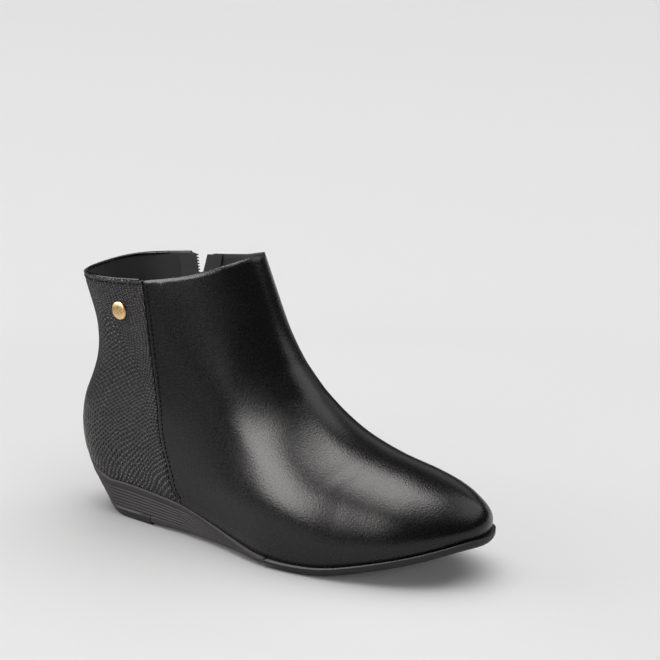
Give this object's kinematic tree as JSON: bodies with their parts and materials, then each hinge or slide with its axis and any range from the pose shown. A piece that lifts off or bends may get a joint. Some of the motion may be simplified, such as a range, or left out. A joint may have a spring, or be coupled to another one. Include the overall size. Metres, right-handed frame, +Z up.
{
  "type": "wedge ankle boot",
  "caption": "Right ankle boot for a woman, on a low ribbed wedge: smooth vamp, embossed heel panel, short zip on the inner side, open collar, sole with toe spring.",
  "frame": {"origin": "on the floor, under the middle of the boot's box", "axes": "+X towards the toe, +Y towards the inner (medial) side, +Z up"},
  "size_m": [0.2618, 0.088, 0.1608],
  "materials": {
    "smooth_leather": "black, finely grained, satin gloss",
    "embossed_leather": "black, embossed with small scales, satin",
    "wedge_stack": "charcoal, moulded with fine side grooves, matt",
    "outsole_rubber": "near black, moulded, matt",
    "sock_lining": "black, soft",
    "zip_tape": "black, woven",
    "zip_metal": "black lacquered",
    "gold_metal": "polished, pale gold"
  },
  "bodies": {
    "boot": {"outsole": "outsole_rubber", "wedge": "wedge_stack", "heel_tip": "outsole_rubber", "insole": "sock_lining", "upper": "smooth_leather", "counter": "embossed_leather", "zip_tape_rear": "zip_tape", "zip_tape_front": "zip_tape", "zip_teeth_rear": "zip_metal", "zip_teeth_front": "zip_metal", "zip_slider": "zip_metal", "badge": "gold_metal"},
    "pull": {"zip_pull": "zip_metal"}
  },
  "joints": [
    {"name": "pull_swing", "type": "hinge", "parent": "boot", "child": "pull", "pos_m": [-0.07276, 0.03515, 0.12849], "axis": [0.936, 0.0159, 0.3517], "range_deg": [0, 160]}
  ]
}
